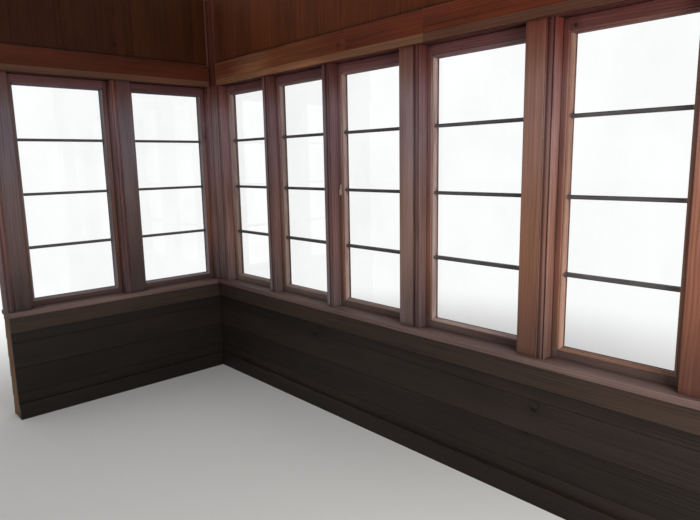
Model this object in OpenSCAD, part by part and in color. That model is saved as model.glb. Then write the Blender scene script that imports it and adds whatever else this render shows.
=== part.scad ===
// Corner window wall of a fire lookout cab: two timber walls of tall fixed windows
// that meet at a corner post. Both walls stand on the floor by their sole plates.

/* [Windows] */
// Width of glass that shows in an ordinary window
pane_w = 437; // [340:1:520]
// Width of glass that shows in a wide window
wide_pane_w = 475; // [360:1:570]
// Width of glass that shows in the short wall's far window
far_pane_w = 495; // [380:1:590]
// Height of glass that shows in every window
pane_h = 1262; // [900:1:1320]
// Lights stacked in one window
lights = 4; // [2:1:6]
// Height of one glazing bar
bar_h = 16; // [10:1:24]
// Depth of a glazing bar
bar_d = 30; // [20:1:36]
// How far the front of a bar lies behind the crest of the bead
bar_set = 2; // [0:0.5:6]
// Chamfer on the room edges of a bar
bar_chamfer = 4; // [1:0.5:6]
// Width of the rounded bead round the glass
bead_w = 14; // [10:1:20]
// Depth of that bead, ahead of the glass
bead_d = 22; // [14:1:26]
// Glass to the edge of the sash's opening: bead and stile together
jamb_w = 39; // [30:1:60]
// Height of the sash's bottom rail, bead included
bottom_rail_h = 45; // [34:1:80]
// Height of the sash's top rail, bead included
top_rail_h = 60; // [40:1:90]
// Thickness of a sash
sash_t = 43; // [38:1:50]
// Room face of the sash, ahead of the middle of the glass
sash_front = 33; // [28:1:38]
// Thickness of the glass
glass_t = 4; // [3:0.5:6]
// How far the glass reaches under its bead
glass_lap = 10; // [5:1:14]
// Gap left round a sash at its sides and top
fit_gap = 2; // [1:0.5:4]

/* [Posts] */
// Width of an ordinary post
post_w = 91; // [70:1:140]
// Width of a narrow mullion
mullion_w = 25; // [19:1:60]
// Width of the stud beside the corner post
corner_stud_w = 90; // [60:1:140]
// Room face of the posts, ahead of the middle of the glass
post_face = 92; // [76:1:120]
// Chamfer on the posts' room edges
arris = 3; // [1:0.5:6]

/* [Moulded jamb stops] */
// Width of the moulded stop on the corner side of a window
stop_w = 39; // [30:1:60]
// Part of the short wall's first stop that shows beside the corner post
corner_stop_w = 17; // [14:1:30]
// Width of the flat edge on either side of the moulding
stop_edge_w = 3; // [2:0.5:8]
// Width of the two grooves
quirk_w = 6; // [2:0.5:6]
// Depth of the two grooves, and rise of the rounded bead between them
quirk_d = 7; // [3:0.5:9]

/* [Sash catch] */
// Width of the plate with round ends
catch_w = 12; // [8:1:14]
// Height of the plate
catch_h = 61; // [40:1:90]
// Thickness of the plate
catch_plate_t = 2.5; // [1.5:0.5:4]
// Height of the boss above the plate
catch_boss_h = 8; // [5:1:14]
// Diameter of the boss
catch_boss_d = 9; // [6:1:12]
// Length of the lever, from the boss to the middle of its button
catch_lever = 26; // [18:1:40]
// Thickness of the lever
catch_lever_t = 4; // [3:0.5:6]
// Diameter of the button
catch_button_d = 8; // [6:1:12]
// How far the button stands past the lever on either side
catch_button_lip = 1; // [0.5:0.5:2]

/* [Lower wall] */
// Height of the window sill and stool above the floor
sill_top = 655; // [500:5:800]
// Thickness of the stool and of the outer sill
sill_t = 32; // [24:1:45]
// Height of the sole, knee and top plates
plate_h = 40; // [36:1:60]
// Thickness of the lining boards below the windows
lining_t = 12; // [9:1:18]
// Courses of lining board
lining_courses = 4; // [3:1:6]
// Gap between lining boards
board_gap = 2; // [1:0.5:4]
// Height of the base board
base_h = 95; // [70:1:140]
// Thickness of the base board
base_t = 18; // [14:1:24]
// Height of the apron under the stool
apron_h = 90; // [60:1:120]
// Thickness of the apron
apron_t = 12; // [9:1:18]
// Reach of the stool's round nose past the apron
stool_reach = 9; // [8:1:30]

/* [Upper wall] */
// Height of the whole wall
wall_h = 2640; // [2350:10:2900]
// Height of the lintels over the windows
lintel_h = 89; // [70:1:140]
// Height of the pale strip under the header board
strip_h = 36; // [25:1:50]
// Lower edge of that strip, above the lintels' underside
strip_lift = 3; // [0:1:15]
// Height of the header board
header_h = 107; // [90:1:160]
// Thickness of the header board and its strip
header_t = 20; // [16:1:26]
// Thickness of the boards above the header
upper_t = 6; // [5:1:18]
// First joint of the long header, past the third window's glass edge
header_joint = 116; // [60:1:300]
// Gap at the joints of the header and its strip
header_gap = 1; // [0.5:0.5:3]
// Width of the boards above the header
upper_board_w = 423; // [200:1:610]
// Width of the first board above the short header
first_board_w = 95; // [60:1:200]

/* [Outside] */
// Thickness of the casings, and of the siding at its lower edge
casing_t = 20; // [16:1:28]
// Thickness of the siding at its upper edge
siding_thin = 8; // [5:1:12]
// Height of one course of siding
siding_course = 119; // [90:1:180]
// How far a casing laps over the edge of a sash
casing_lap = 15; // [8:1:22]
// Height of the head casing
head_casing_h = 110; // [80:1:150]
// Width of a corner board
corner_board_w = 90; // [60:1:120]
// How much thicker the corner boards are than the casings
corner_board_extra = 2; // [0:1:8]
// Reach of the outer sill past the casings
outer_sill_reach = 35; // [20:1:60]
// Fall of the outer sill's sloping nose
outer_sill_fall = 8; // [4:1:14]

/* [Hidden] */

// Each wall is drawn lying along +X, with the room on its +Y side and the middle of its
// glass on Y = 0. X = 0 is where the glass planes of the two walls meet.
long_panes = [pane_w, pane_w, pane_w, wide_pane_w, pane_w];
long_posts = [mullion_w, mullion_w, post_w, post_w, post_w];
short_panes = [wide_pane_w, far_pane_w];
short_posts = [post_w, post_w];

frame_back = sash_t - sash_front;
outer_face = frame_back + casing_t;
sill_nose = outer_face + outer_sill_reach;
lining_face = post_face + lining_t;
apron_face = lining_face + apron_t;
base_face = lining_face + base_t;
stool_nose = apron_face + stool_reach;
header_face = post_face + header_t;
upper_face = post_face + upper_t;

knee_top = sill_top - sill_t;
glass_bottom = sill_top + bottom_rail_h;
glass_top = glass_bottom + pane_h;
head_z = glass_top + top_rail_h;
strip_z = head_z + strip_lift;
header_z = strip_z + strip_h;
upper_z = header_z + header_h;
top_plate_z = wall_h - plate_h;
head_casing_z = head_z - casing_lap;
upper_siding_z = head_casing_z + head_casing_h;
light_h = (pane_h - (lights - 1) * bar_h) / lights;
bead_front = glass_t / 2 + bead_d;
bar_front = bead_front - bar_set;

// Where the glass of window i starts, when the first one starts at first
function glass_start(first, panes, posts, i) = i == 0 ? first
    : glass_start(first, panes, posts, i - 1) + panes[i - 1] + posts[i - 1] + stop_w + 2 * jamb_w;
function starts(first, panes, posts) =
    [for (i = [0:len(panes) - 1]) glass_start(first, panes, posts, i)];

long_glass_x = starts(post_face + corner_stud_w + stop_w + jamb_w, long_panes, long_posts);
short_glass_x = starts(post_face + corner_stop_w + jamb_w, short_panes, short_posts);
long_post_x = [for (i = [0:len(long_panes) - 1]) long_glass_x[i] + long_panes[i] + jamb_w];
short_post_x = [for (i = [0:len(short_panes) - 1]) short_glass_x[i] + short_panes[i] + jamb_w];
long_end = long_post_x[4] + long_posts[4] + stop_w;
short_end = short_post_x[1] + short_posts[1] + stop_w;

// The free edge of every moulded stop: one beside each window, and one past the end post
long_stop_x = concat([for (x = long_glass_x) x - jamb_w], [long_end]);
short_stop_x = concat([for (x = short_glass_x) x - jamb_w], [short_end]);
corner_edge = corner_board_w - outer_face - corner_board_extra;
origin_shift = [(short_end - sill_nose) / 2, (long_end - sill_nose) / 2, 0];

// The window, counted from 0 at the corner, whose sash has the catch
catch_window = 2;

wood_tan = [0.66, 0.49, 0.36];
wood_pink = [0.62, 0.42, 0.33];
wood_red = [0.48, 0.29, 0.20];
wood_brown = [0.50, 0.34, 0.20];
wood_dark = [0.33, 0.23, 0.17];
bar_green = [0.30, 0.33, 0.28];
outside_wood = [0.55, 0.50, 0.43];
catch_brass = [0.72, 0.62, 0.42];

// Put a wall drawn along +X into its place in the corner
module on_long() {
    translate(origin_shift) mirror([1, 1, 0]) children();
}

module on_short() {
    translate(origin_shift) rotate([0, 0, 180]) children();
}

// A block between two corners
module slab(low, high) {
    translate(low) cube(high - low);
}

// A profile drawn as depth and height, run along the wall
module run(from, to) {
    translate([from, 0, 0]) rotate([90, 0, 90]) linear_extrude(to - from) children();
}

// One upright with its room edges chamfered
module upright(from, width, low, high) {
    translate([from, 0, low]) linear_extrude(high - low) polygon([
        [0, -frame_back], [width, -frame_back], [width, post_face - arris],
        [width - arris, post_face], [arris, post_face], [0, post_face - arris]]);
}

// Sole plate, studs and knee plate of the wall below the windows
module knee_frame(from, to, stud_x, stud_w) {
    slab([from, -frame_back, 0], [to, post_face, plate_h]);
    slab([from, -frame_back, knee_top - plate_h], [to, post_face, knee_top]);
    for (i = [0:len(stud_x) - 1])
        slab([stud_x[i], -frame_back, 0], [stud_x[i] + stud_w[i], post_face, knee_top]);
}

// Courses of lining board below the stool
module lining(from, to) {
    course = knee_top / lining_courses;
    for (i = [0:lining_courses - 1])
        slab([from, post_face, i * course + (i == 0 ? 0 : board_gap)],
            [to, lining_face, (i + 1) * course]);
}

// Bevel siding: every course is thick at its lower edge and thin at its upper edge
module siding(from, to, low, high) {
    count = ceil((high - low) / siding_course);
    run(from, to) intersection() {
        polygon(concat([[-frame_back, low]],
            [for (i = [0:count - 1]) each [
                [-outer_face, low + i * siding_course],
                [-frame_back - siding_thin, low + (i + 1) * siding_course]]],
            [[-frame_back, low + count * siding_course]]));
        translate([-outer_face, low]) square([casing_t, high - low]);
    }
}

// Where the bay that stop i stands in begins, on the corner side of that stop
function bay_start(stop_x, i) = max(post_face, stop_x[i] - stop_w);

// Inside window board with a round nose, let in between the posts
module stool(from, to, stop_x, post_x) {
    nose = sill_t / 4;
    bays = len(stop_x);
    run(from, to) union() {
        translate([post_face, knee_top]) square([stool_nose - post_face - nose, sill_t]);
        translate([post_face, knee_top + nose]) square([stool_nose - post_face, sill_t - 2 * nose]);
        for (z = [knee_top + nose, sill_top - nose])
            translate([stool_nose - nose, z]) circle(r = nose, $fn = 32);
    }
    for (i = [0:bays - 1]) {
        start = bay_start(stop_x, i);
        finish = i == bays - 1 ? to : post_x[i];
        slab([start, sash_front, knee_top], [finish, post_face, sill_top]);
        slab([max(start, from), sash_front, knee_top], [finish, post_face + 1, sill_top]);
    }
}

// Outer sill: flat under the sashes and casings, then a sloping nose with a drip groove
module outer_sill(from, to, stop_x, post_x) {
    drip = outer_sill_reach / 5;
    bays = len(stop_x);
    run(from, to) difference() {
        polygon([[-frame_back, knee_top], [-sill_nose, knee_top],
            [-sill_nose, sill_top - outer_sill_fall], [-outer_face, sill_top],
            [-frame_back, sill_top]]);
        translate([drip * 2 - sill_nose, knee_top]) circle(d = drip, $fn = 24);
    }
    for (i = [0:bays - 1])
        slab([bay_start(stop_x, i), -frame_back - 1, knee_top],
            [i == bays - 1 ? to : post_x[i], sash_front, sill_top]);
}

// Lintels between the posts. The first stop of a wall runs up past the first lintel.
module lintels(stop_x, post_x) {
    for (i = [0:len(post_x) - 1])
        slab([i == 0 ? stop_x[0] : stop_x[i] - stop_w, -frame_back, head_z],
            [post_x[i], post_face, head_z + lintel_h]);
}

// Sash frame with a rebate for the glass and its bead
module sash(x, width) {
    difference() {
        slab([x - jamb_w + fit_gap, -frame_back, sill_top],
            [x + width + jamb_w - fit_gap, sash_front, head_z - fit_gap]);
        slab([x, -frame_back - 1, glass_bottom], [x + width, sash_front + 1, glass_top]);
        slab([x - bead_w, -glass_t / 2, glass_bottom - bead_w],
            [x + width + bead_w, sash_front + 1, glass_top + bead_w]);
    }
}

// One length of bead with mitred ends, its outer edge on Y = 0 and the glass towards +Y
module bead_run(length) {
    edge = bead_d / 4;
    intersection() {
        rotate([90, 0, 90]) linear_extrude(length) polygon(concat([[0, glass_t / 2]],
            [for (a = [0:15:90])
                [bead_w * sin(a), glass_t / 2 + edge + (bead_d - edge) * cos(a)]],
            [[bead_w, glass_t / 2]]));
        linear_extrude(sash_front + 1)
            polygon([[0, 0], [length, 0], [length - bead_w, bead_w], [bead_w, bead_w]]);
    }
}

// Bead round the glass, joined with the bars that cross it
module glazing(x, width) {
    wide = width + 2 * bead_w;
    high = pane_h + 2 * bead_w;
    translate([x - bead_w, 0, glass_bottom - bead_w]) mirror([0, 1, -1]) {
        bead_run(wide);
        translate([wide, high, 0]) rotate([0, 0, 180]) bead_run(wide);
        translate([0, high, 0]) rotate([0, 0, -90]) bead_run(high);
        translate([wide, 0, 0]) rotate([0, 0, 90]) bead_run(high);
    }
    for (i = [1:lights - 1])
        translate([0, 0, glass_bottom + i * light_h + (i - 1) * bar_h]) {
            run(x, x + width) bar_profile(bar_front - bar_d);
            run(x - bead_w / 2, x + width + bead_w / 2) bar_profile(glass_t / 2);
        }
}

// A glazing bar, drawn across its depth and height, from its back to its chamfered front
module bar_profile(back) {
    polygon([[back, 0], [bar_front - bar_chamfer, 0], [bar_front, bar_chamfer],
        [bar_front, bar_h - bar_chamfer], [bar_front - bar_chamfer, bar_h], [back, bar_h]]);
}

// The panes of one window, between its bars and under its bead
module panes_of(x, width) {
    for (i = [0:lights - 1])
        slab([x - glass_lap, -glass_t / 2,
                glass_bottom + i * (light_h + bar_h) - (i == 0 ? glass_lap : 0)],
            [x + width + glass_lap, glass_t / 2,
                glass_bottom + i * (light_h + bar_h) + light_h + (i == lights - 1 ? glass_lap : 0)]);
}

// Moulded stop, drawn across its width from its free edge and across its depth: a rounded
// bead between two grooves
module stop_profile() {
    groove = post_face - quirk_d;
    crest = stop_w / 2;
    half = crest - stop_edge_w - quirk_w;
    polygon(concat([[0, -frame_back], [stop_w, -frame_back], [stop_w, post_face],
            [stop_w - stop_edge_w, post_face], [stop_w - stop_edge_w, groove]],
        [for (a = [0:20:180]) [crest + half * cos(a), groove + quirk_d * sin(a)]],
        [[stop_edge_w, groove], [stop_edge_w, post_face], [arris, post_face],
            [0, post_face - arris]]));
}

// The stops of one wall. The first and the last run up to the top plate, the others end
// under their lintels.
module stops_of(stop_x) {
    last = len(stop_x) - 1;
    for (i = [0:last]) translate([stop_x[i], 0, sill_top]) mirror([1, 0, 0])
        linear_extrude((i == 0 || i == last ? top_plate_z : head_z) - sill_top) intersection() {
            stop_profile();
            translate([0, -frame_back])
                square([stop_x[i] - bay_start(stop_x, i), post_face + frame_back]);
        }
}

// Boards of the header or of its strip, butted at the joints
module header_boards(from, to, joints, low, high) {
    edges = concat([from], joints, [to]);
    for (i = [0:len(edges) - 2])
        slab([edges[i] + (i == 0 ? 0 : header_gap), post_face, low],
            [edges[i + 1], header_face, high]);
}

// Vertical boards above the header. The first is first_w wide, the last takes what is left.
module upper_boards(from, to, first_w) {
    count = max(1, round((to - from - first_w) / upper_board_w));
    slab([from, post_face, upper_z], [from + first_w, upper_face, wall_h]);
    for (i = [0:count - 1])
        slab([from + first_w + i * upper_board_w + board_gap, post_face, upper_z],
            [i == count - 1 ? to : from + first_w + (i + 1) * upper_board_w, upper_face, wall_h]);
}

// Outside casings: one board over every post, under a head casing
module casings(to, stop_x, post_x) {
    count = len(post_x);
    slab([corner_edge, -outer_face, head_casing_z], [to, -frame_back, upper_siding_z]);
    for (i = [0:count])
        slab([i == 0 ? corner_edge : post_x[i - 1] - casing_lap, -outer_face, sill_top],
            [i == count ? to : stop_x[i] + casing_lap, -frame_back, head_casing_z + 1]);
}

module long_knee_frame() {
    color(wood_brown) on_long() knee_frame(-frame_back, long_end,
        concat([-frame_back, post_face], long_post_x, [long_end - stop_w]),
        concat([post_face + frame_back, corner_stud_w], long_posts, [stop_w]));
}

module short_knee_frame() {
    color(wood_brown) on_short() knee_frame(post_face, short_end,
        concat([post_face], short_post_x, [short_end - stop_w]),
        concat([stop_w], short_posts, [stop_w]));
}

module long_lining() {
    color(wood_dark) on_long() lining(post_face, long_end);
}

module short_lining() {
    color(wood_dark) on_short() lining(lining_face, short_end);
}

module long_base_board() {
    color(wood_dark) on_long() slab([lining_face, lining_face, 0], [long_end, base_face, base_h]);
}

module short_base_board() {
    color(wood_dark) on_short() slab([base_face, lining_face, 0], [short_end, base_face, base_h]);
}

module long_siding() {
    color(outside_wood) on_long() siding(corner_edge, long_end, 0, knee_top);
}

module short_siding() {
    color(outside_wood) on_short() siding(corner_edge, short_end, 0, knee_top);
}

module long_stool() {
    color(wood_pink) on_long() stool(post_face, long_end, long_stop_x, long_post_x);
}

module short_stool() {
    color(wood_pink) on_short() stool(stool_nose, short_end, short_stop_x, short_post_x);
}

module long_apron() {
    color(wood_brown) on_long()
        slab([lining_face, lining_face, knee_top - apron_h], [long_end, apron_face, knee_top]);
}

module short_apron() {
    color(wood_brown) on_short()
        slab([apron_face, lining_face, knee_top - apron_h], [short_end, apron_face, knee_top]);
}

module long_outer_sill() {
    color(outside_wood) on_long() outer_sill(corner_edge, long_end, long_stop_x, long_post_x);
}

module short_outer_sill() {
    color(outside_wood) on_short() outer_sill(corner_edge, short_end, short_stop_x, short_post_x);
}

module corner_post() {
    color(wood_tan) on_long()
        slab([-frame_back, -frame_back, knee_top], [post_face, post_face, top_plate_z]);
}

module corner_stud() {
    color(wood_tan) on_long() upright(post_face, corner_stud_w, knee_top, top_plate_z);
}

module narrow_mullions() {
    color(wood_tan) on_long() for (i = [0, 1])
        upright(long_post_x[i], long_posts[i], knee_top, top_plate_z);
}

module wide_posts() {
    color(wood_tan) on_long() for (i = [2, 3])
        upright(long_post_x[i], long_posts[i], knee_top, top_plate_z);
}

module long_end_post() {
    color(wood_tan) on_long() upright(long_post_x[4], long_posts[4], knee_top, top_plate_z);
}

module short_mullion() {
    color(wood_tan) on_short() upright(short_post_x[0], short_posts[0], knee_top, top_plate_z);
}

module short_end_post() {
    color(wood_tan) on_short() upright(short_post_x[1], short_posts[1], knee_top, top_plate_z);
}

module long_lintels() {
    color(wood_brown) on_long() lintels(long_stop_x, long_post_x);
}

module short_lintels() {
    color(wood_brown) on_short() lintels(short_stop_x, short_post_x);
}

module long_sashes() {
    color(wood_pink) on_long()
        for (i = [0:len(long_panes) - 1]) sash(long_glass_x[i], long_panes[i]);
}

module short_sashes() {
    color(wood_pink) on_short()
        for (i = [0:len(short_panes) - 1]) sash(short_glass_x[i], short_panes[i]);
}

module long_glazing_bars() {
    color(bar_green) on_long()
        for (i = [0:len(long_panes) - 1]) glazing(long_glass_x[i], long_panes[i]);
}

module short_glazing_bars() {
    color(bar_green) on_short()
        for (i = [0:len(short_panes) - 1]) glazing(short_glass_x[i], short_panes[i]);
}

module long_glass() {
    color([0.8, 0.9, 0.95, 0.35]) on_long()
        for (i = [0:len(long_panes) - 1]) panes_of(long_glass_x[i], long_panes[i]);
}

module short_glass() {
    color([0.8, 0.9, 0.95, 0.35]) on_short()
        for (i = [0:len(short_panes) - 1]) panes_of(short_glass_x[i], short_panes[i]);
}

module long_stops() {
    color(wood_pink) on_long() stops_of(long_stop_x);
}

module short_stops() {
    color(wood_pink) on_short() stops_of(short_stop_x);
}

module long_header() {
    color(wood_red) on_long() header_boards(long_stop_x[0], long_end,
        [long_glass_x[2] + header_joint, long_glass_x[3]], header_z, upper_z);
}

module short_header() {
    color(wood_red) on_short()
        header_boards(short_stop_x[0], short_end, [], header_z, upper_z);
}

module long_header_strip() {
    color(wood_tan) on_long()
        header_boards(long_stop_x[0], long_end, [long_glass_x[3]], strip_z, header_z);
}

module short_header_strip() {
    color(wood_tan) on_short()
        header_boards(short_stop_x[0], short_end, [], strip_z, header_z);
}

module long_upper_boards() {
    color(wood_brown) on_long() upper_boards(long_stop_x[0], long_end, upper_board_w);
}

module short_upper_boards() {
    color(wood_brown) on_short() upper_boards(short_stop_x[0], short_end, first_board_w);
}

module long_top_plate() {
    color(wood_brown) on_long()
        slab([-frame_back, -frame_back, top_plate_z], [long_end, post_face, wall_h]);
}

module short_top_plate() {
    color(wood_brown) on_short()
        slab([post_face, -frame_back, top_plate_z], [short_end, post_face, wall_h]);
}

module long_upper_siding() {
    color(outside_wood) on_long() siding(corner_edge, long_end, upper_siding_z, wall_h);
}

module short_upper_siding() {
    color(outside_wood) on_short() siding(corner_edge, short_end, upper_siding_z, wall_h);
}

module long_casings() {
    color(outside_wood) on_long() casings(long_end, long_stop_x, long_post_x);
}

module short_casings() {
    color(outside_wood) on_short() casings(short_end, short_stop_x, short_post_x);
}

// Two boards joined along the outside corner, from the ground to the top
module corner_boards() {
    thick = outer_face + corner_board_extra;
    color(outside_wood) on_long() linear_extrude(wall_h) polygon([
        [-thick, -thick], [corner_edge, -thick], [corner_edge, -frame_back],
        [-frame_back, -frame_back], [-frame_back, corner_edge], [-thick, corner_edge]]);
}

// Catch on the far stile of one window: a plate with round ends, a boss on it, and a lever
// that hangs from the boss to its round button
module sash_catch() {
    stile_w = jamb_w - bead_w - fit_gap;
    plate_side = catch_h - catch_w;
    lever_z = catch_plate_t + catch_boss_h - catch_lever_t;
    color(catch_brass) on_long()
        translate([long_glass_x[catch_window] - bead_w - stile_w / 2, sash_front,
            glass_bottom + pane_h / 2]) mirror([0, 1, -1]) {
            linear_extrude(catch_plate_t) union() {
                square([catch_w, plate_side], center = true);
                for (side = [-1, 1])
                    translate([0, side * plate_side / 2]) circle(d = catch_w, $fn = 32);
            }
            cylinder(d = catch_boss_d, h = catch_plate_t + catch_boss_h, $fn = 32);
            translate([0, 0, lever_z]) linear_extrude(catch_lever_t)
                polygon([[-catch_boss_d / 4, 0], [-catch_lever_t / 2, -catch_lever],
                    [catch_lever_t / 2, -catch_lever], [catch_boss_d / 4, 0]]);
            translate([0, -catch_lever, lever_z - catch_button_lip])
                cylinder(d = catch_button_d, h = catch_lever_t + 2 * catch_button_lip, $fn = 32);
        }
}

long_knee_frame();
short_knee_frame();
long_lining();
short_lining();
long_base_board();
short_base_board();
long_siding();
short_siding();
long_stool();
short_stool();
long_apron();
short_apron();
long_outer_sill();
short_outer_sill();
corner_post();
corner_stud();
narrow_mullions();
wide_posts();
long_end_post();
short_mullion();
short_end_post();
long_lintels();
short_lintels();
long_sashes();
short_sashes();
long_glazing_bars();
short_glazing_bars();
long_glass();
short_glass();
long_stops();
short_stops();
long_header();
short_header();
long_header_strip();
short_header_strip();
long_upper_boards();
short_upper_boards();
long_top_plate();
short_top_plate();
long_upper_siding();
short_upper_siding();
long_casings();
short_casings();
corner_boards();
sash_catch();
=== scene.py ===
"""Looks of the corner window wall of a fire lookout cab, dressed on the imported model."""

import math

import bmesh
import bpy
from mathutils import Matrix, Vector


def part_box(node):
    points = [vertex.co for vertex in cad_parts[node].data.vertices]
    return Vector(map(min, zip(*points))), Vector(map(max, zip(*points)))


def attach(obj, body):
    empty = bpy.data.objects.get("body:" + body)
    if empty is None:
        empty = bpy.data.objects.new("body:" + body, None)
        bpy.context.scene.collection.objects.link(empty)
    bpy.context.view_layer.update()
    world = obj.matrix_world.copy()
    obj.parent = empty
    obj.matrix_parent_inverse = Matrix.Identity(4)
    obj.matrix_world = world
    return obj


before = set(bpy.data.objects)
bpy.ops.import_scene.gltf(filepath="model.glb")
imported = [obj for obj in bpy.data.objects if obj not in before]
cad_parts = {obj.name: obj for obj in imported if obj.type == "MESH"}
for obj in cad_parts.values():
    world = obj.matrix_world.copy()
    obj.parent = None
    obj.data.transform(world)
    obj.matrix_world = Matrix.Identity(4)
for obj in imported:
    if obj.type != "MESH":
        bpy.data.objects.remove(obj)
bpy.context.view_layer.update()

# Camera, worked out from the window corners in the photograph
EYE = Vector((-1.5584, -2.2445, 1.4849))
YAW = math.radians(42.671)
PITCH = math.radians(9.477)
ROLL = math.radians(1.050)
FOCAL_PX = 584.47
PICTURE_W = 700
SENSOR_MM = 36.0

# Sizes that part.scad gives, in metres
BEAD_W = 0.014
SIDING_COURSE = 0.119
SIDING_TAPER = 0.012

# Heights that several pieces share, in metres
HEADER_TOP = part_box("long_header")[1].z
STRIP_LOW, STRIP_TOP = (corner.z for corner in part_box("long_header_strip"))
SILL_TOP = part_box("long_sashes")[0].z

# Place of the seam in the corner stud along the long wall, in metres
STUD_SEAM = 1.4835

# Marks on the wood: place along the long wall, height and radius in metres, and how dark
HEADER_KNOT = (0.163, 2.098, 0.010, 0.95)
STILE_KNOT = (-1.113, 1.988, 0.011, 0.9)
POST_FLECK = (-1.050, 1.693, 0.006, 0.7)

# Along the long wall the trim is browner on the near side of this place, in metres
BROWN_TRIM = -1.0

# Sashes that stand by the corner, beyond this place on the long wall, are lighter
NEAR_CORNER = 1.33

# Heights at which trim begins to turn grey and is fully grey, as painted glare, in metres
GREY_FROM, GREY_FULL = 1.2, 1.65

# Tones of the long wall's stops, from the near end to the corner
STOP_TONES = ((0.78, 0.74, 0.70), (0.76, 0.76, 0.76), (0.53, 0.61, 0.70), (0.55, 0.60, 0.76),
              (0.52, 0.555, 0.67), (0.90, 1.02, 1.20))

# Colours as sRGB numbers from 0 to 255
# The first colour is what shut-in corners darken to: painted shade, with dirt.
DIRT_AND_SHADE = (30, 19, 17)
OPEN_JOINT = (26, 22, 19)
KNOT_CORE = (26, 14, 12)
BAR_LIGHT, BAR_DARK = (60, 56, 56), (100, 95, 96)
CLEAN_GLASS, DUSTY_GLASS = (254, 255, 255), (240, 243, 243)

# Length of a siding board and radius of the nail heads, in metres
SIDING_LENGTH = 2.35
INSIDE_NAIL = 0.0024
OUTSIDE_NAIL = 0.0034

# Radius that the edges of wood and of metal seem to be rounded with, in metres
WOOD_EDGE = 0.0022
METAL_EDGE = 0.0008

# Level of the light from all round, where 1 would show every colour as it is written
AMBIENT = 0.52

# Floor: radius, drop below the part, and where it begins and ends to fade, in metres
FLOOR_RADIUS = 40.0
FLOOR_DROP = 0.0005
FADE_FROM, FADE_TO = 1.9, 4.4

AXES = "xyz"


def linear(r, g, b):
    """A colour written as sRGB numbers from 0 to 255, as the linear colour that Blender takes."""
    def channel(v):
        v /= 255
        return v / 12.92 if v <= 0.04045 else ((v + 0.055) / 1.055) ** 2.4
    return (channel(r), channel(g), channel(b), 1.0)


def solids(node):
    """The box of every separate solid of a CAD node, as (lowest corner, highest corner)."""
    mesh = bmesh.new()
    mesh.from_mesh(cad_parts[node].data)
    bmesh.ops.remove_doubles(mesh, verts=mesh.verts, dist=1e-5)
    boxes, seen = [], set()
    for start in mesh.verts:
        if start in seen:
            continue
        seen.add(start)
        todo, found = [start], []
        while todo:
            vert = todo.pop()
            found.append(vert.co.copy())
            for edge in vert.link_edges:
                other = edge.other_vert(vert)
                if other not in seen:
                    seen.add(other)
                    todo.append(other)
        boxes.append((Vector(min(c[i] for c in found) for i in range(3)),
                      Vector(max(c[i] for c in found) for i in range(3))))
    mesh.free()
    return boxes


def spans(node, axis):
    """The (low, high) spans along an axis that the solids of a node cover, lowest first."""
    i = AXES.index(axis)
    merged = []
    for low, high in sorted((a[i], b[i]) for a, b in solids(node)):
        if merged and low < merged[-1][1] - 1e-4:
            merged[-1][1] = max(high, merged[-1][1])
        else:
            merged.append([low, high])
    return merged


def cuts(node, axis):
    """The middles between neighbouring spans: where one board ends and the next begins."""
    boards = spans(node, axis)
    return [(a[1] + b[0]) / 2 for a, b in zip(boards, boards[1:])]


def wall_axis(side):
    """The axis along a wall."""
    return "y" if side == "long" else "x"


def window_spans(side):
    """The spans of glass along a wall, and the lowest and highest glass."""
    low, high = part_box(f"{side}_glazing_bars")
    glass = [(a + BEAD_W, b - BEAD_W) for a, b in spans(f"{side}_glazing_bars", wall_axis(side))]
    return glass, low.z + BEAD_W, high.z - BEAD_W


class Num:
    """A value in a node tree that takes part in plain arithmetic."""

    def __init__(self, tree, socket):
        self.tree, self.socket = tree, socket

    def math(self, operation, *others):
        node = self.tree.add("ShaderNodeMath", operation=operation)
        for socket, value in zip(node.inputs, (self, *others)):
            self.tree.put(socket, value)
        return Num(self.tree, node.outputs[0])

    def __add__(self, other):
        return self.math("ADD", other)

    def __sub__(self, other):
        return self.math("SUBTRACT", other)

    def __rsub__(self, other):
        return (self * -1.0) + other

    def __mul__(self, other):
        return self.math("MULTIPLY", other)

    def fract(self):
        return self.math("FRACT")

    def floor(self):
        return self.math("FLOOR")

    def abs(self):
        return self.math("ABSOLUTE")

    def above(self, level):
        return self.math("GREATER_THAN", level)

    def below(self, level):
        return self.math("LESS_THAN", level)

    def ease(self, low, high, to_low=0.0, to_high=1.0):
        """Runs smoothly from to_low, at low, to to_high, at high."""
        node = self.tree.add("ShaderNodeMapRange", interpolation_type="SMOOTHSTEP")
        for socket, value in zip(node.inputs, (self, low, high, to_low, to_high)):
            self.tree.put(socket, value)
        return Num(self.tree, node.outputs[0])


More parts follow.
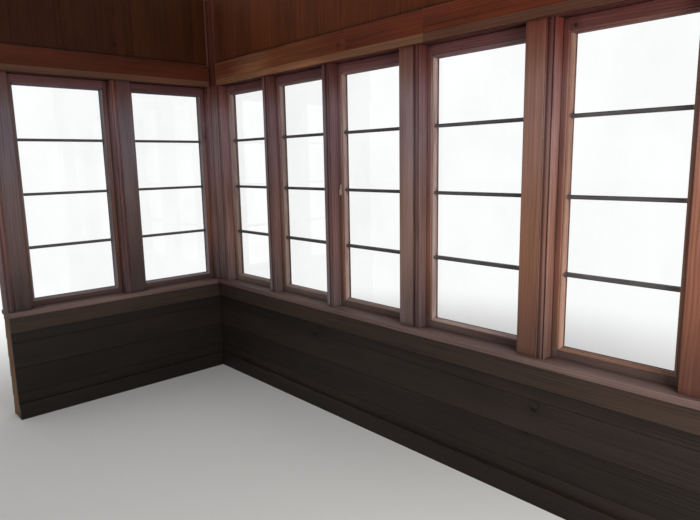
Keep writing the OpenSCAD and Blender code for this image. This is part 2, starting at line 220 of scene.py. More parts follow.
class Tree:
    """Short calls that build one node material."""

    def __init__(self, name):
        self.material = bpy.data.materials.new(name)
        self.material.use_nodes = True
        self.nodes = self.material.node_tree.nodes
        self.links = self.material.node_tree.links
        self.nodes.clear()
        self.place = self.add("ShaderNodeTexCoord").outputs["Object"]
        self.x, self.y, self.z = self.split(self.place)

    def add(self, kind, **settings):
        node = self.nodes.new(kind)
        for key, value in settings.items():
            setattr(node, key, value)
        return node

    def put(self, socket, value):
        """Link a value to a socket, or write it there if it is a constant."""
        if isinstance(value, Num):
            value = value.socket
        if isinstance(value, bpy.types.NodeSocket):
            self.links.new(value, socket)
        else:
            socket.default_value = value

    def axis(self, name):
        return {"x": self.x, "y": self.y, "z": self.z}[name]

    def split(self, vector):
        node = self.add("ShaderNodeSeparateXYZ")
        self.put(node.inputs[0], vector)
        return [Num(self, s) for s in node.outputs]

    def vector(self, *parts):
        node = self.add("ShaderNodeCombineXYZ")
        for socket, value in zip(node.inputs, parts):
            self.put(socket, value)
        return node.outputs[0]

    def vector_math(self, operation, a, b, out=0):
        node = self.add("ShaderNodeVectorMath", operation=operation)
        self.put(node.inputs[0], a)
        self.put(node.inputs[1], b)
        return node.outputs[out]

    def dot(self, a, b):
        return Num(self, self.vector_math("DOT_PRODUCT", a, b, out="Value"))

    def distance(self, a, b):
        return Num(self, self.vector_math("DISTANCE", a, b, out="Value"))

    def noise(self, vector, scale, detail=2.0, rough=0.5):
        node = self.add("ShaderNodeTexNoise")
        self.put(node.inputs["Vector"], self.vector_math("MULTIPLY", vector, scale))
        for key, value in (("Scale", 1.0), ("Detail", detail), ("Roughness", rough)):
            self.put(node.inputs[key], value)
        return Num(self, node.outputs["Fac"])

    def random(self, value, seed=0.0):
        """A random vector and a random number that change with a whole number."""
        node = self.add("ShaderNodeTexWhiteNoise", noise_dimensions="1D")
        self.put(node.inputs["W"], value + seed)
        return node.outputs["Color"], Num(self, node.outputs["Value"])

    def mix(self, factor, a, b, blend="MIX"):
        """Colours or vectors a and b, mixed."""
        node = self.add("ShaderNodeMix", data_type="RGBA", blend_type=blend)
        self.put(node.inputs["Factor"], factor)
        self.put(node.inputs[6], a)
        self.put(node.inputs[7], b)
        return node.outputs[2]

    def shade(self, colour, amount):
        """A colour made lighter or darker by a number."""
        return self.mix(1.0, colour, self.vector(amount, amount, amount), "MULTIPLY")

    def tint(self, colour, amount, rgb):
        """A colour multiplied by another one as far as the amount, from 0 to 1, says."""
        return self.mix(amount, colour, self.mix(1.0, colour, (*rgb, 1.0), "MULTIPLY"))

    def count(self, value, levels):
        """How many of the levels the value has passed."""
        total = value * 0.0
        for level in levels:
            total = total + value.above(level)
        return total

    def inside(self, value, ranges):
        """1 where the value lies in one of the ranges."""
        total = value * 0.0
        for low, high in ranges:
            total = total + value.above(low) * value.below(high)
        return total

    def above_sill(self, reach):
        """1 at the foot of the windows, fading to 0 at a reach above it."""
        return self.z.ease(SILL_TOP, SILL_TOP + reach, 1.0, 0.0)

    def relief(self, height, strength, distance, normal=None):
        node = self.add("ShaderNodeBump")
        self.put(node.inputs["Strength"], strength)
        self.put(node.inputs["Distance"], distance)
        self.put(node.inputs["Height"], height)
        if normal is not None:
            self.put(node.inputs["Normal"], normal)
        return node.outputs[0]

    def rounding(self, radius, samples):
        """The normal with rounded edges, and the flat one."""
        node = self.add("ShaderNodeBevel", samples=samples)
        self.put(node.inputs["Radius"], radius)
        return node.outputs[0], self.add("ShaderNodeNewGeometry").outputs["True Normal"]

    def mix_shaders(self, factor, first, second):
        node = self.add("ShaderNodeMixShader")
        for socket, value in zip(node.inputs, (factor, first.outputs[0], second.outputs[0])):
            self.put(socket, value)
        return node

    def finish(self, shader):
        out = self.add("ShaderNodeOutputMaterial")
        self.put(out.inputs["Surface"], shader.outputs[0])
        return self.material


def lay_boards(t, node, wall, grain, split, planks, rails, rail_levels):
    """The number of each board, the joints between butting boards, the place in a board as
    (across, deep, along the grain), and the axis of its grain."""
    along_wall = t.axis(wall)
    depth = t.y if wall == "x" else t.x
    wall_vector = t.vector(*(1.0 if a == wall else 0.0 for a in AXES))
    board = t.count(t.axis(split or wall), cuts(node, split) if split else ())
    butt_joint = None
    if planks is not None:
        first, course_h, length = planks
        course = ((t.z - first) * (1.0 / course_h) + 0.002).floor()
        _, shift = t.random(course, 3.0)
        run = along_wall * (1.0 / length) + shift * 3.0
        board = course * 7.0 + run.floor()
        butt_joint = ((run.fract() - 0.5).abs() - 0.5).abs().ease(0.0, 0.0016, 1.0, 0.0)
    upright = t.vector(along_wall, depth, t.z)
    level = t.vector(t.z, depth, along_wall)
    place, grain_axis = (upright, (0.0, 0.0, 1.0)) if grain == "z" else (level, wall_vector)
    if rails is not None:
        is_rail = t.inside(along_wall, rails)
        board = board * 3.0 + is_rail + t.count(t.z, rail_levels) * is_rail
        place = t.mix(is_rail, upright, level)
        grain_axis = t.mix(is_rail, t.vector(0.0, 0.0, 1.0), wall_vector)
    return board, butt_joint, place, grain_axis


def knot_marks(t, place, share):
    """Knots in a share of the cells of a pattern, and the swirl of the grain round them."""
    cells = t.add("ShaderNodeTexVoronoi", feature="F1")
    bend = t.vector(t.noise(place, (30.0, 30.0, 30.0)) * 0.006, 0.0, 0.0)
    t.put(cells.inputs["Vector"], t.vector_math(
        "MULTIPLY", t.vector_math("ADD", place, bend), (7.0, 2.0, 4.0)))
    t.put(cells.inputs["Scale"], 1.0)
    reach = Num(t, cells.outputs["Distance"])
    _, draw = t.random(t.dot(cells.outputs["Color"], (97.0, 53.0, 31.0)).floor())
    here = draw.below(share)
    return reach.ease(0.055, 0.10, 1.0, 0.0) * here, reach.ease(0.0, 0.42, 1.0, 0.0) * here


def late_wood(t, place, rings, swirl):
    """The dark part of each growth ring."""
    across, deep, _ = t.split(place)
    wave = t.noise(place, (4.5, 4.5, 0.75), detail=2.0)
    ripple = t.noise(place, (11.0, 11.0, 2.6), detail=1.0)
    growth = (across + deep * 0.7 + wave * 0.075 + ripple * 0.02) * rings + swirl * 5.0
    ring = growth.fract()
    strength = t.noise(place, (16.0, 16.0, 1.1), detail=2.0).ease(0.35, 0.7, 0.35, 1.3)
    return ring.ease(0.40, 0.92) * ring.ease(0.93, 1.0, 1.0, 0.0) * strength


def rubbed_edges(t, soft, flat):
    """Where an edge stands out and has been rubbed."""
    edge = (1.0 - t.dot(soft, flat)).ease(0.004, 0.14)
    rub = t.noise(t.place, (9.0, 9.0, 5.0), detail=4.0, rough=0.7).ease(0.35, 0.72)
    return edge * rub


def corner_dirt_and_shade(t, reach):
    """Where a corner is shut in, within a reach: painted shade there, with dirt."""
    corner = t.add("ShaderNodeAmbientOcclusion", samples=8)
    t.put(corner.inputs["Distance"], reach)
    shut = (1.0 - Num(t, corner.outputs["AO"])).ease(0.10, 0.85)
    spots = t.noise(t.place, (14.0, 14.0, 14.0), detail=4.0, rough=0.6)
    return shut * (spots * 0.5 + 0.75)


def wood(node, light, dark, wall="y", grain="z", split=None, planks=None, rails=None,
         rail_levels=(), tone=0.10, rings=85.0, ringing=0.24, streaks=0.8, knots=0.0,
         rough=0.55, shine=0.2, coat=0.0, wear=0.5, worn=(186, 150, 128), grime=0.8,
         grime_reach=0.05, bump=0.25, paint=None):
    """Timber with growth rings, streaks, knots, worn edges, and painted shade with dirt in its
    corners.

    wall is the axis along the wall, and grain the axis along the timber. split is the axis on
    which the node's solids part into boards. planks (first height, course, length) lays
    courses of boards that butt at random places. rails are the spans along the wall where the
    grain of a frame lies level, and rail_levels the heights between its rails. tone is how
    much boards differ, rings the growth rings in a metre, and knots the share of places that
    have one. paint(tree, colour, board) changes the colour at the end.
    """
    t = Tree(node)
    board, butt_joint, place, grain_axis = lay_boards(
        t, node, wall, grain, split, planks, rails, rail_levels)
    offset, chance = t.random(board, 11.0)
    _, hue = t.random(board, 29.0)
    place = t.vector_math("ADD", place, t.vector_math("MULTIPLY", offset, (5.0, 5.0, 5.0)))
    knot, swirl = knot_marks(t, place, knots) if knots else (0.0, 0.0)
    late = late_wood(t, place, rings, swirl)
    streak = t.noise(place, (75.0, 75.0, 1.7), detail=5.0, rough=0.62)
    fibre = t.noise(place, (420.0, 420.0, 9.0), detail=2.0)
    broad = t.noise(place, (6.0, 6.0, 1.1), detail=3.0)
    blend = (late * ringing + (streak - 0.5) * (1.25 * streaks) + (fibre - 0.5) * 0.4
             + (broad - 0.5) * 1.3 + (0.5 - 0.4 * ringing))
    colour = t.mix(blend.ease(0.0, 1.0), linear(*light), linear(*dark))
    if knots:
        colour = t.mix(knot * 0.8, colour, linear(*(0.38 * v for v in dark)))
        colour = t.shade(colour, 1.0 - swirl * 0.22)
    colour = t.tint(colour, hue * 0.4, (1.0, 0.84, 0.76))
    colour = t.shade(colour, (chance - 0.5) * (2.0 * tone) + 1.0)

    soft, flat = t.rounding(WOOD_EDGE, samples=6)
    end_grain = t.dot(flat, grain_axis).abs().ease(0.6, 0.9)
    colour = t.shade(colour, 1.0 - end_grain * 0.42)
    worn_edge = rubbed_edges(t, soft, flat) * wear
    colour = t.mix(worn_edge, colour, linear(*worn))
    # Painted shade and dirt: darker where corners are shut in.
    dirt = corner_dirt_and_shade(t, grime_reach) * grime
    colour = t.mix(dirt, colour, linear(*DIRT_AND_SHADE))
    blotch = t.noise(t.place, (1.9, 1.9, 1.3), detail=3.0, rough=0.55).ease(0.25, 0.8)
    colour = t.shade(colour, 1.07 - blotch * 0.17)
    if paint is not None:
        colour = paint(t, colour, board)
    if butt_joint is not None:
        colour = t.mix(butt_joint * 0.85, colour, linear(*OPEN_JOINT))

    shader = t.add("ShaderNodeBsdfPrincipled")
    t.put(shader.inputs["Base Color"], colour)
    t.put(shader.inputs["Roughness"],
          streak * 0.16 + (rough - 0.08) + worn_edge * 0.18 + dirt * 0.15)
    t.put(shader.inputs["Coat Weight"], coat)
    t.put(shader.inputs["Coat Roughness"], 0.32)
    t.put(shader.inputs["Specular IOR Level"], shine)
    height = late * 0.35 + streak * 0.5 + fibre * 0.3
    t.put(shader.inputs["Normal"],
          t.relief(height, strength=bump, distance=0.0025, normal=soft))
    return t.finish(shader)


def mark(t, colour, spot):
    """A dark knot with a soft ring on the long wall."""
    along, up, radius, darkness = spot
    gap = t.distance(t.vector(0.0, t.y, t.z), (0.0, along, up))
    wobble = t.noise(t.place, (90.0, 90.0, 90.0)) * (radius * 0.7)
    core = (gap + wobble).ease(radius * 0.8, radius * 1.3, 1.0, 0.0)
    halo = gap.ease(radius, radius * 3.5, 1.0, 0.0)
    colour = t.shade(colour, 1.0 - halo * 0.25)
    return t.mix(core * darkness, colour, linear(*KNOT_CORE))


def painted_light_by_height(t, colour):
    """Trim is redder and darker up under the header, as painted shade; greyer half-way up, as
    painted glare from the windows; darker at its foot, as painted shade. The feet by the second
    and third window of the long wall are lighter, as painted light."""
    under = t.z.ease(STRIP_LOW - 0.25, STRIP_LOW)
    half = t.z.ease(GREY_FROM, GREY_FULL) * t.z.ease(STRIP_LOW - 0.28, STRIP_LOW - 0.05, 1.0, 0.0)
    foot = t.above_sill(0.42)
    far = t.y.ease(-0.1, 0.5) * t.y.ease(1.25, 1.5, 1.0, 0.0)
    # Painted light and shade: under the header, half-way up, at the foot, and on the far feet.
    colour = t.tint(colour, under, (0.62, 0.34, 0.30))
    colour = t.tint(colour, half, (1.06, 1.18, 1.45))
    colour = t.tint(colour, foot, (0.55, 0.62, 0.70))
    return t.tint(colour, foot * far, (1.4, 1.6, 1.5))


def glass_material(name):
    """Clear window glass with a faint film of dust. It lets the lamps through."""
    t = Tree(name)
    film = t.noise(t.place, (3.0, 3.0, 2.0), detail=4.0, rough=0.6).ease(0.35, 0.85)
    specks = t.noise(t.place, (240.0, 240.0, 240.0), detail=2.0).ease(0.68, 0.8)
    waves = t.noise(t.place, (6.0, 6.0, 4.0), detail=1.0)
    shader = t.add("ShaderNodeBsdfPrincipled")
    t.put(shader.inputs["Base Color"], t.mix(
        film * 0.5 + specks * 0.4, linear(*CLEAN_GLASS), linear(*DUSTY_GLASS)))
    t.put(shader.inputs["Roughness"], film * 0.03 + specks * 0.08)
    t.put(shader.inputs["Transmission Weight"], 1.0)
    t.put(shader.inputs["IOR"], 1.33)
    t.put(shader.inputs["Normal"], t.relief(waves, strength=0.01, distance=0.002))
    shadow = t.add("ShaderNodeLightPath").outputs["Is Shadow Ray"]
    return t.finish(t.mix_shaders(shadow, shader, t.add("ShaderNodeBsdfTransparent")))


def metal(name, base, dull, rough, polish):
    """Worn metal: the base colour with duller patches, fine scratches and rubbed edges."""
    t = Tree(name)
    patch = t.noise(t.place, (70.0, 70.0, 70.0), detail=4.0, rough=0.65)
    fine = t.noise(t.place, (900.0, 900.0, 300.0), detail=2.0)
    soft, flat = t.rounding(METAL_EDGE, samples=4)
    edge = (1.0 - t.dot(soft, flat)).ease(0.004, 0.12)
    colour = t.mix(patch.ease(0.3, 0.7) * 0.8 + fine * 0.15, linear(*base), linear(*dull))
    shader = t.add("ShaderNodeBsdfPrincipled")
    t.put(shader.inputs["Base Color"], t.mix(edge * 0.5, colour, linear(*base)))
    t.put(shader.inputs["Metallic"], polish)
    t.put(shader.inputs["Roughness"], patch * 0.3 + rough)
    t.put(shader.inputs["Normal"],
          t.relief(patch, strength=0.2, distance=0.0005, normal=soft))
    return t.finish(shader)


def dress(node, material):
    """Give a CAD node its material."""
    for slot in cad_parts[node].material_slots:
        slot.material = material


def dress_wood(node, light, dark, **looks):
    """Give a CAD node a timber of its own, with the looks that wood() takes."""
    dress(node, wood(node, light, dark, **looks))


def dress_windows(side):
    """Sashes, beads with their bars, moulded stops and glass of one wall."""
    wall = wall_axis(side)
    glass, low, high = window_spans(side)
    rails = [(a - BEAD_W, b + BEAD_W) for a, b in glass]
    middle = (low + high) / 2

    def sash_tones(t, colour, board):
        """Browner at the foot of the stiles, greyer above and on the top and bottom rails. The
        short wall's sashes are darker near the sill, as painted shade.
        """
        up = t.z.ease(low, low + 0.75)
        colour = t.tint(painted_light_by_height(t, colour), 1.0 - up, (0.90, 0.88, 0.72))
        if side == "long":
            colour = t.tint(colour, up * t.y.above(BROWN_TRIM), (1.08, 1.30, 1.50))
            colour = t.tint(colour, t.y.above(NEAR_CORNER), (1.30, 1.45, 1.50))
        else:
            colour = t.tint(colour, up, (0.80, 0.96, 1.10))
            # Painted shade: the short wall's sashes darker near the sill.
            colour = t.tint(colour, t.above_sill(0.9), (0.66, 0.58, 0.55))
        colour = t.tint(colour, t.z.above(high), (0.96, 1.22, 1.60))
        colour = t.tint(colour, t.z.below(low), (1.0, 1.35, 1.75))
        return mark(t, colour, STILE_KNOT) if side == "long" else colour

    def bar_tones(t, colour, board):
        """The bars across the glass are darker than the bead round it. Its top is darker too, as
        painted shade under the header. The short wall's bead is darker, as painted shade.
        """
        bar = t.inside(t.axis(wall), glass) * t.inside(t.z, [(low, high)])
        streak = t.noise(t.place, (12.0, 12.0, 60.0), detail=3.0)
        dark = t.mix(streak, linear(*BAR_LIGHT), linear(*BAR_DARK))
        if side == "long":
            colour = t.tint(colour, t.y.below(BROWN_TRIM), (0.80, 0.62, 0.50))
        else:
            # Painted shade on the short wall's beads.
            colour = t.tint(colour, 1.0, (0.62, 0.70, 0.84))
        colour = t.mix(bar, colour, dark)
        # Painted shade on the bead's top, under the header.
        return t.tint(colour, t.z.above(high), (0.60, 0.48, 0.54))

    def stop_tones(t, colour, board):
        """Every stop of the long wall has its own tone. The second and third are darker on top, as
        painted shade under the header. The short wall's stops are darker, as painted shade.
        """
        colour = painted_light_by_height(t, colour)
        if side == "short":
            # Painted shade on the short wall's stops.
            return t.tint(colour, 1.0, (0.66, 0.70, 0.86))
        for place, rgb in enumerate(STOP_TONES):
            colour = t.tint(colour, t.inside(board, [(place - 0.5, place + 0.5)]), rgb)
        # Painted shade near the top of the second and third stops, under the header.
        upper = t.z.ease(STRIP_LOW - 0.42, STRIP_LOW - 0.14)
        return t.tint(colour, upper * t.inside(board, [(0.5, 2.5)]), (0.87, 0.74, 0.79))

    dress_wood(f"{side}_sashes", (150, 104, 90), (100, 64, 54), wall=wall, split=wall,
               rails=rails, rail_levels=[middle], knots=0.12, grime=0.55, grime_reach=0.035,
               paint=sash_tones)
    dress_wood(f"{side}_glazing_bars", (170, 150, 143), (126, 104, 97), wall=wall, split=wall,
               rails=glass, rail_levels=[middle], streaks=1.1, wear=0.3, worn=(200, 178, 166),
               grime=0.6, grime_reach=0.02, paint=bar_tones)
    dress_wood(f"{side}_stops", (160, 117, 102), (106, 70, 60), wall=wall, split=wall,
               streaks=1.0, wear=0.9, worn=(198, 160, 146), grime=0.2, grime_reach=0.022,
               paint=stop_tones)
    dress(f"{side}_glass", glass_material(f"{side}_glass"))


def dress_upper(side):
    """Header with its strip, the boards above, lintels and top plate of one wall."""
    wall = wall_axis(side)
    # Painted shade: the short wall's header and boards above are darker.
    header_light_level, upper_light_level = (1.0, 1.0) if side == "long" else (0.54, 0.42)

    def header_tones(t, colour, board):
        """A dark line along the strip's top. The long wall is paler towards the corner, as painted
        light, and the short wall darker, as painted shade.
        """
        if side == "long":
            # Painted light on the long header, growing towards the corner.
            corner_light = t.y.ease(0.15, 0.5) * t.y.ease(1.0, 1.3, 1.0, 0.0)
            colour = t.tint(colour, t.y.ease(0.70, 1.05), (1.85, 2.7, 3.4))
            colour = t.tint(colour, corner_light, (1.25, 1.75, 1.9))
            colour = mark(t, colour, HEADER_KNOT)
        from_strip = (t.z - STRIP_TOP).abs()
        return t.shade(colour, from_strip.ease(0.0, 0.004, 0.55 * header_light_level, header_light_level))

    def strip_tones(t, colour, board):
        """The long wall's strip has a darker near board, and is lighter past its middle, as
        painted light.
        The short wall's strip is darker, as painted shade.
        """
        if side == "short":
            # Painted shade on the short wall's strip.
            return t.tint(colour, 1.0, (0.50, 0.46, 0.50))
        colour = t.tint(colour, board.below(0.5), (0.66, 0.56, 0.62))
        # Painted light, rising towards the middle of the long wall and easing by the corner.
        colour = t.shade(colour, t.y.ease(-0.45, 0.5, 0.80, 1.70))
        return t.shade(colour, t.y.ease(0.5, 1.0, 1.0, 0.88))

    def upper_tones(t, colour, board):
        """Darker just over the header, as painted shadow above its ledge. The long wall is greyer
        by the corner. The short wall is darker, as painted shade.
        """
        if side == "long":
            colour = t.tint(colour, t.y.ease(0.85, 1.3), (0.95, 1.05, 1.8))
        # Painted shadow just above the header's ledge, and painted shade on the short wall.
        over_header = t.z - HEADER_TOP
        return t.shade(colour, over_header.ease(0.0, 0.02, 0.45 * upper_light_level, upper_light_level))

    dress_wood(f"{side}_header", (110, 52, 29), (64, 26, 13), wall=wall, grain=wall, split=wall,
               ringing=0.28, streaks=0.85, knots=0.35, shine=0.10, worn=(150, 104, 80),
               paint=header_tones)
    dress_wood(f"{side}_header_strip", (134, 94, 66), (84, 53, 36), wall=wall, grain=wall,
               split=wall, tone=0.04, knots=0.1, shine=0.15, paint=strip_tones)
    dress_wood(f"{side}_upper_boards", (98, 50, 22), (62, 29, 12), wall=wall, split=wall,
               tone=0.13, ringing=0.2, streaks=0.8, knots=0.4, shine=0.08,
               worn=(140, 96, 70), paint=upper_tones)
    dress_wood(f"{side}_lintels", (92, 52, 50), (58, 30, 30), wall=wall, grain=wall, split=wall,
               shine=0.1, grime=0.9, grime_reach=0.06)
    dress_wood(f"{side}_top_plate", (150, 112, 80), (104, 72, 48), wall=wall, grain=wall,
               ringing=0.35, knots=0.3, rough=0.75)


def deep_shade(t, colour, board):
    """Painted shade: the short wall is darker below its windows."""
    return t.shade(colour, 0.6)


def dress_lower(side):
    """Framing, lining, stool and skirting of one wall below the windows."""
    wall = wall_axis(side)
    paint = deep_shade if side == "short" else None
    looks = {
        "knee_frame": ((158, 120, 86), (112, 80, 54), {"rough": 0.8, "knots": 0.35}),
        "stool": ((122, 101, 96), (80, 62, 58), {"wear": 0.9, "coat": 0.05, "knots": 0.15}),
        "apron": ((66, 53, 45), (42, 33, 28), {"worn": (120, 96, 80), "knots": 0.2}),
        # The lining and skirting are dark wood, made darker still as painted shade below the
        # windows.
        "lining": ((48, 40, 35), (28, 24, 21), {
            "split": "z", "worn": (96, 76, 63), "knots": 0.35, "tone": 0.16, "ringing": 0.34,
            "paint": paint}),
        "base_board": ((46, 38, 34), (28, 23, 21), {
            "worn": (108, 86, 70), "wear": 0.9, "paint": paint}),
    }
    for part, (light, dark, facts) in looks.items():
        dress_wood(f"{side}_{part}", light, dark, wall=wall, grain=wall, shine=0.15,
                   grime_reach=0.06, **facts)


def weather_stain(t, colour, board):
    """Runs of dirt on the outside, and splashes near the ground."""
    runs = t.noise(t.place, (26.0, 26.0, 1.4), detail=4.0, rough=0.6).ease(0.5, 0.78)
    splash = t.z.ease(0.0, 0.34, 1.0, 0.0) * t.noise(t.place, (7.0, 7.0, 9.0), detail=4.0)
    colour = t.tint(colour, runs * 0.7, (0.66, 0.62, 0.58))
    return t.tint(colour, splash, (0.50, 0.44, 0.38))


def dress_weathered(node, light, dark, **looks):
    """Give a CAD node timber that has stood outside for years."""
    dress_wood(node, light, dark, **{
        "ringing": 0.3, "rough": 0.85, "shine": 0.15, "worn": (184, 178, 166), "grime": 0.85,
        "bump": 0.5, "paint": weather_stain, **looks})


def dress_outside(side):
    """Weathered siding, casings and sill of one wall."""
    wall = wall_axis(side)
    head_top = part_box(f"{side}_casings")[1].z
    for part, first in (("siding", 0.0), ("upper_siding", head_top)):
        dress_weathered(f"{side}_{part}", (160, 151, 137), (106, 95, 83), wall=wall, grain=wall,
                        planks=(first, SIDING_COURSE, SIDING_LENGTH), tone=0.15, knots=0.3)
    dress_weathered(f"{side}_casings", (146, 134, 118), (94, 82, 70), wall=wall)
    dress_weathered(f"{side}_outer_sill", (146, 136, 120), (94, 84, 72), wall=wall, grain=wall)


def dress_posts():
    """The uprights, each with its own tone, and the catch."""
    def plain(t, colour, board):
        return painted_light_by_height(t, colour)

    def low_shade(t, colour, amount):
        """Painted shade: darker towards the foot, as far as the amount says."""
        return t.tint(colour, t.above_sill(0.8) * amount, (0.70, 0.60, 0.54))

    # Painted shade at the foot of a post.
    def shaded_foot(t, colour, board):
        return low_shade(t, painted_light_by_height(t, colour), 1.0)

    def seam(t, colour, board):
        """A dark seam down the stud, which is darker beside the header, as painted shade."""
        from_seam = (t.y - STUD_SEAM).abs()
        colour = t.shade(painted_light_by_height(t, colour), from_seam.ease(0.001, 0.005, 0.4, 1.0))
        # Painted shade beside the header.
        return t.tint(colour, t.z.above(STRIP_LOW), (0.75, 0.62, 0.5))

    def grey_by_corner(t, colour, board):
        """Of the two wide posts the one nearer to the corner is greyer, as painted glare from the
        windows; the other is darker below, as painted shade.
        """
        # Painted glare on the post nearer the corner, painted shade low on the other.
        colour = t.tint(painted_light_by_height(t, colour), board.above(0.5), (1.0, 1.28, 1.65))
        colour = low_shade(t, colour, board.below(0.5))
        return mark(t, colour, POST_FLECK)

    looks = {
        "corner_post": ("y", (118, 88, 76), (78, 54, 46), None),
        "corner_stud": ("y", (148, 118, 110), (100, 75, 69), seam),
        "narrow_mullions": ("y", (150, 130, 128), (104, 86, 84), plain),
        "wide_posts": ("y", (156, 114, 94), (112, 77, 60), grey_by_corner),
        "long_end_post": ("y", (162, 110, 90), (112, 72, 56), shaded_foot),
        "short_mullion": ("x", (116, 98, 96), (78, 63, 61), shaded_foot),
        "short_end_post": ("x", (118, 100, 98), (80, 65, 63), shaded_foot),
    }
    for node, (wall, light, dark, paint) in looks.items():
        dress_wood(node, light, dark, wall=wall, split=wall, tone=0.05, rings=60.0,
                   ringing=0.18, streaks=0.65, knots=0.1, wear=0.7, paint=paint)
    dress_weathered("corner_boards", (146, 136, 120), (94, 84, 72), grime=0.8)
    dress("sash_catch", metal(
        "sash_catch", (232, 218, 194), (166, 146, 118), rough=0.3, polish=0.6))


def add_nails(name, places, normal, radius, material):
    """Nail heads as low closed domes, set a little into the wood."""
    rise, sunk, sides = radius * 0.35, radius * 0.3, 8
    out = Vector(normal)
    side = out.cross(Vector((0.0, 0.0, 1.0))).normalized()
    up = side.cross(out)
    mesh = bmesh.new()
    for place in places:
        rings = []
        for share, height in ((1.0, -sunk), (1.0, 0.0), (0.6, rise * 0.75)):
            ring = []
            for k in range(sides):
                angle = math.tau * k / sides
                ring.append(mesh.verts.new(
                    place + out * height
                    + (side * math.cos(angle) + up * math.sin(angle)) * (radius * share)))
            rings.append(ring)
        for inner, outer in zip(rings, rings[1:]):
            for k in range(sides):
                mesh.faces.new((inner[k], inner[k - 1], outer[k - 1], outer[k]))
        top = mesh.verts.new(place + out * rise)
        for k in range(sides):
            mesh.faces.new((rings[-1][k], rings[-1][k - 1], top))
        mesh.faces.new(rings[0])
    bmesh.ops.recalc_face_normals(mesh, faces=mesh.faces)
    data = bpy.data.meshes.new(name)
    mesh.to_mesh(data)
    mesh.free()
    data.materials.append(material)
    piece = bpy.data.objects.new(name, data)
    bpy.context.scene.collection.objects.link(piece)
    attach(piece, "root")


def nail_wall(side, inside, outside):
    """Nails of one wall, on the room side and on the outside."""
    wall = wall_axis(side)
    i = AXES.index(wall)
    depth = 1 - i
    room = Vector((-1.0, 0.0, 0.0)) if side == "long" else Vector((0.0, -1.0, 0.0))

    def point(along, face, z):
        place = Vector((0.0, 0.0, z))
        place[i], place[depth] = along, face
        return place

    def faces(part):
        """The two faces across the wall of a part, and its foot and top."""
        low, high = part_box(f"{side}_{part}")
        return low[depth], high[depth], low.z, high.z

    stops = spans(f"{side}_stops", wall)
    end_margin = 0.02
    studs = sorted([(a + b) / 2 for a, b in stops[1:-1]]
                   + [stops[0][0] + end_margin, stops[-1][1] - end_margin])

    face, _, strip_low, _ = faces("header_strip")
    _, _, header_low, header_high = faces("header")
    margin = 0.025
    heights = (header_low + margin, header_high - margin, (strip_low + header_low) / 2)
    places = [point(along, face, z) for along in studs for z in heights]
    face, _, upper_low, upper_high = faces("upper_boards")
    margin, foot, head, rows = 0.016, 0.05, 0.04, 4
    step = (upper_high - upper_low - foot - head) / (rows - 1)
    for a, b in spans(f"{side}_upper_boards", wall):
        for along in (a + margin, b - margin):
            places += [point(along, face, upper_low + foot + step * k) for k in range(rows)]
    add_nails(f"{side}_header_nails", places, room, INSIDE_NAIL, inside)

    face, _, _, _ = faces("lining")
    low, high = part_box(f"{side}_lining")
    margin, behind_apron = 0.022, 0.10
    places = []
    for a, b in spans(f"{side}_lining", "z")[1:]:
        places += [point(along, face, z) for along in studs for z in (a + margin, b - margin)
                   if low[i] < along < high[i] and z < high.z - behind_apron]
    add_nails(f"{side}_lining_nails", places, room, INSIDE_NAIL, inside)

    _, face, casing_low, _ = faces("casings")
    foot, step, rows = 0.08, 0.3, 5
    places = [point((a + b) / 2, face, casing_low + foot + step * k)
              for a, b in stops for k in range(rows)]
    add_nails(f"{side}_casing_nails", places, -room, OUTSIDE_NAIL, outside)

    foot = 0.028
    places = []
    for part in ("siding", "upper_siding"):
        _, face, course, top = faces(part)
        while course + foot < top:
            places += [point(along, face - SIDING_TAPER * foot / SIDING_COURSE, course + foot)
                       for along in studs]
            course += SIDING_COURSE
    add_nails(f"{side}_siding_nails", places, -room, OUTSIDE_NAIL, outside)


def add_camera():
    """The camera looks YAW from +Y towards +X, PITCH below the horizon, turned by ROLL."""
    ahead = Vector((math.sin(YAW) * math.cos(PITCH), math.cos(YAW) * math.cos(PITCH),
                    -math.sin(PITCH)))
    level = Vector((math.cos(YAW), -math.sin(YAW), 0.0))
    below = ahead.cross(level)
    right = math.cos(ROLL) * level + math.sin(ROLL) * below
    up = math.sin(ROLL) * level - math.cos(ROLL) * below
    data = bpy.data.cameras.new("camera")
    data.sensor_width = SENSOR_MM
    data.lens = FOCAL_PX / PICTURE_W * SENSOR_MM
    data.clip_start = 0.05
    camera = bpy.data.objects.new("camera", data)
    turn = Matrix((right, up, -ahead)).transposed().to_4x4()
    camera.matrix_world = Matrix.Translation(EYE) @ turn
    bpy.context.scene.collection.objects.link(camera)
    bpy.context.scene.camera = camera


def add_lamp(name, place, target, size, power, colour):
    """A round soft lamp at a place, facing a target. It isn't seen itself."""
    data = bpy.data.lights.new(name, "AREA")
    data.shape = "DISK"
    data.size = size
    data.energy = power
    data.color = colour
    lamp = bpy.data.objects.new(name, data)
    lamp.location = place
    lamp.visible_camera = False
    lamp.visible_transmission = False
    lamp.rotation_euler = (Vector(target) - Vector(place)).to_track_quat("-Z", "Y").to_euler()
    bpy.context.scene.collection.objects.link(lamp)


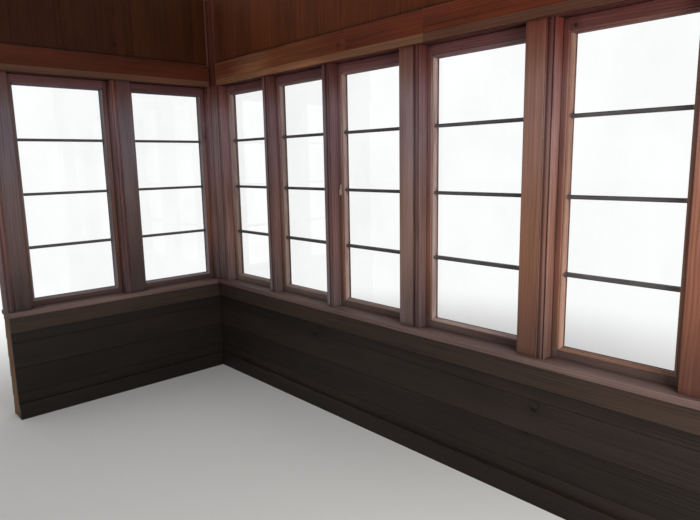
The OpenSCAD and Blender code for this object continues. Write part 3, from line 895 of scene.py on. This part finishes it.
def add_world():
    """Even light from all round. What is seen past the part, also in glass, is white."""
    world = bpy.data.worlds.new("studio")
    bpy.context.scene.world = world
    world.use_nodes = True
    nodes, links = world.node_tree.nodes, world.node_tree.links
    nodes.clear()
    path = nodes.new("ShaderNodeLightPath")
    seen = path.outputs["Is Camera Ray"]
    for ray in ("Is Glossy Ray", "Is Transmission Ray"):
        either = nodes.new("ShaderNodeMath")
        either.operation = "MAXIMUM"
        links.new(seen, either.inputs[0])
        links.new(path.outputs[ray], either.inputs[1])
        seen = either.outputs[0]
    dim, white = (nodes.new("ShaderNodeBackground") for _ in range(2))
    dim.inputs["Strength"].default_value = AMBIENT
    for background in (dim, white):
        background.inputs["Color"].default_value = (1.0, 1.0, 1.0, 1.0)
    both = nodes.new("ShaderNodeMixShader")
    out = nodes.new("ShaderNodeOutputWorld")
    links.new(seen, both.inputs["Fac"])
    links.new(dim.outputs[0], both.inputs[1])
    links.new(white.outputs[0], both.inputs[2])
    links.new(both.outputs[0], out.inputs["Surface"])


def add_floor():
    """A pale floor that fades to white away from the part."""
    data = bpy.data.meshes.new("floor")
    mesh = bmesh.new()
    bmesh.ops.create_circle(mesh, cap_ends=True, segments=96, radius=FLOOR_RADIUS)
    mesh.to_mesh(data)
    mesh.free()
    floor = bpy.data.objects.new("floor", data)
    floor.location.z = -FLOOR_DROP
    bpy.context.scene.collection.objects.link(floor)
    t = Tree("floor")
    far = t.distance(t.place, (0.0, 0.0, 0.0)).ease(FADE_FROM, FADE_TO)
    pale = t.add("ShaderNodeBsdfPrincipled")
    t.put(pale.inputs["Base Color"], (0.78, 0.775, 0.76, 1.0))
    t.put(pale.inputs["Roughness"], 0.8)
    path = t.add("ShaderNodeLightPath")
    through_glass = Num(t, path.outputs["Is Transmission Ray"])
    seen = Num(t, path.outputs["Is Camera Ray"]).math("MAXIMUM", through_glass)
    white = t.add("ShaderNodeEmission")
    data.materials.append(t.finish(t.mix_shaders(far * seen, pale, white)))


inside_nail = metal("inside_nail", (84, 66, 56), (50, 34, 28), rough=0.45, polish=0.5)
outside_nail = metal("outside_nail", (96, 74, 60), (88, 50, 32), rough=0.6, polish=0.4)
for wall_name in ("long", "short"):
    dress_windows(wall_name)
    dress_upper(wall_name)
    dress_lower(wall_name)
    dress_outside(wall_name)
    nail_wall(wall_name, inside_nail, outside_nail)
dress_posts()

add_camera()
add_world()
add_lamp("key", place=(-0.1, -2.95, 1.25), target=(0.6, -0.4, 1.4), size=1.3, power=48.0,
         colour=(1.0, 0.985, 0.965))
add_floor()
bpy.context.scene.view_settings.view_transform = "Standard"
